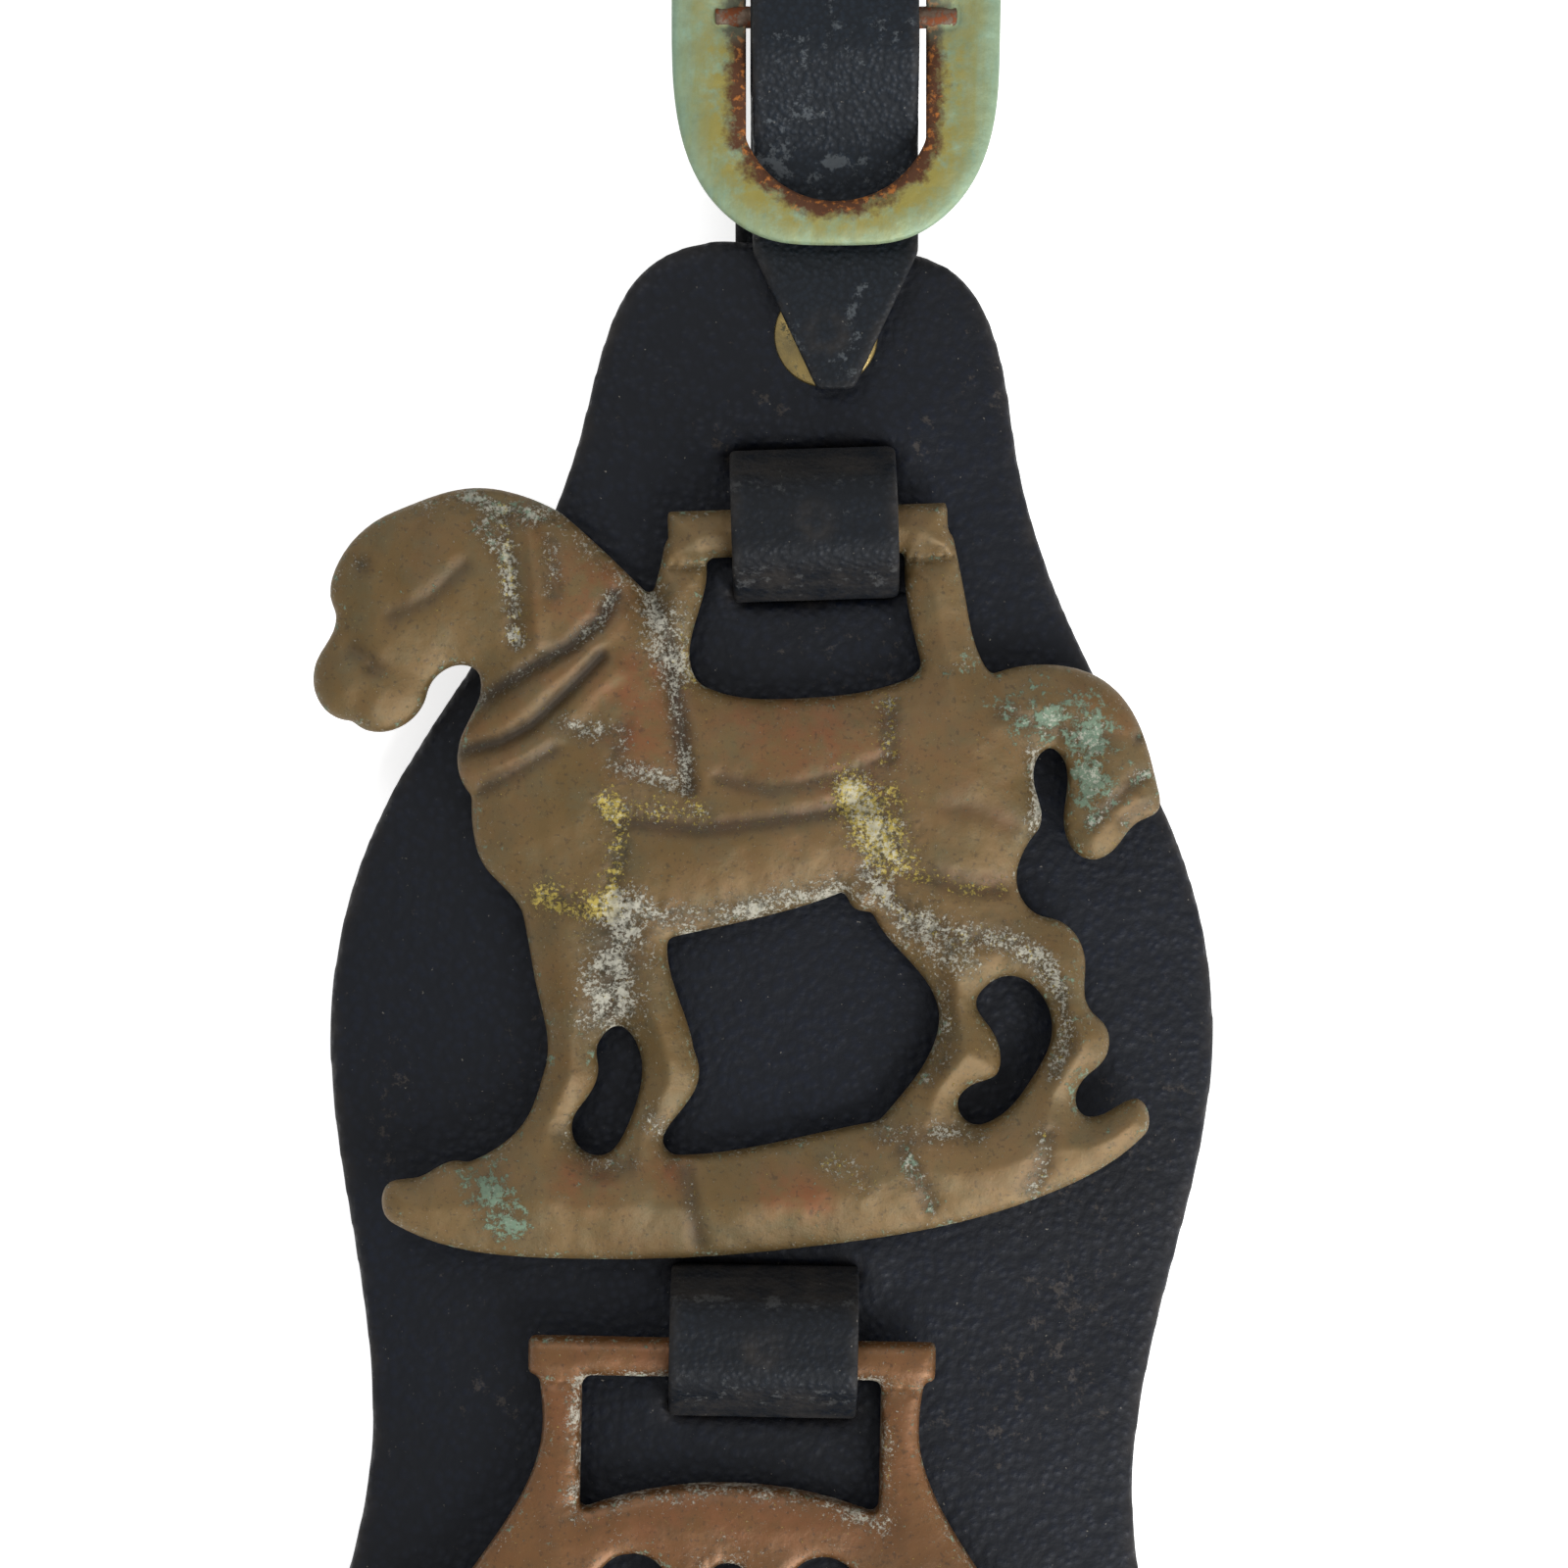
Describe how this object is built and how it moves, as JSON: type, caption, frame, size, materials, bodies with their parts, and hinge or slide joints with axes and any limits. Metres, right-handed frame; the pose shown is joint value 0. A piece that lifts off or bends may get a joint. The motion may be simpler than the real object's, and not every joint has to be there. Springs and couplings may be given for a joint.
{
  "type": "harness hanger with horse brasses",
  "caption": "Shaped leather backing panel that carries a rocking-horse casting and a pierced round casting on leather tabs, hung from a buckled strap.",
  "frame": {"origin": "axis of the top rivet, on the plane the hanger rests on, at the flat back of the rivet's post and burr", "axes": "+Z out of the front face, +Y up the panel towards the buckle and hanging loop, +X to the right seen from the front"},
  "size_m": [0.0894, 0.2981, 0.015],
  "materials": {
    "panel_leather": "black pebbled bridle leather, worn satin",
    "strap_leather": "smooth black leather, satin",
    "horse_casting": "dull aged brass with verdigris and crust in the hollows",
    "disc_casting": "aged brass, smoother and more orange, crusted along the piercings",
    "buckle_brass": "brass under pale green verdigris with rust stains",
    "bar_steel": "rusted steel",
    "rivet_brass": "dull brass"
  },
  "bodies": {
    "panel": {"backing_panel": "panel_leather", "upper_hanger_tab": "strap_leather", "lower_hanger_tab": "strap_leather", "upper_tab_rivet": "rivet_brass", "lower_tab_rivet": "rivet_brass", "top_rivet": "rivet_brass", "top_rivet_burr": "rivet_brass"},
    "hanger": {"hanging_strap": "strap_leather", "buckle_tab": "strap_leather", "buckle_frame": "buckle_brass", "buckle_bar": "bar_steel"},
    "tongue": {"buckle_tongue": "bar_steel"},
    "horse": {"horse_brass": "horse_casting"},
    "disc": {"disc_brass": "disc_casting"}
  },
  "joints": [
    {"name": "hanger_swivel", "type": "hinge", "parent": "panel", "child": "hanger", "pos_m": [0, 0, 0.004], "axis": [0, 0, 1], "range_deg": [-15, 15]},
    {"name": "tongue_lift", "type": "hinge", "parent": "hanger", "child": "tongue", "pos_m": [-0.00044, 0.03051, 0.0104], "axis": [0.999, 0.0454, 0], "range_deg": [0, 4]},
    {"name": "horse_swing", "type": "hinge", "parent": "panel", "child": "horse", "pos_m": [-0.00025, -0.0191, 0.01036], "axis": [-0.9971, -0.0767, 0], "range_deg": [0, 140]},
    {"name": "disc_swing", "type": "hinge", "parent": "panel", "child": "disc", "pos_m": [-0.00461, -0.09948, 0.01036], "axis": [-0.9997, -0.0262, 0], "range_deg": [0, 140]}
  ]
}
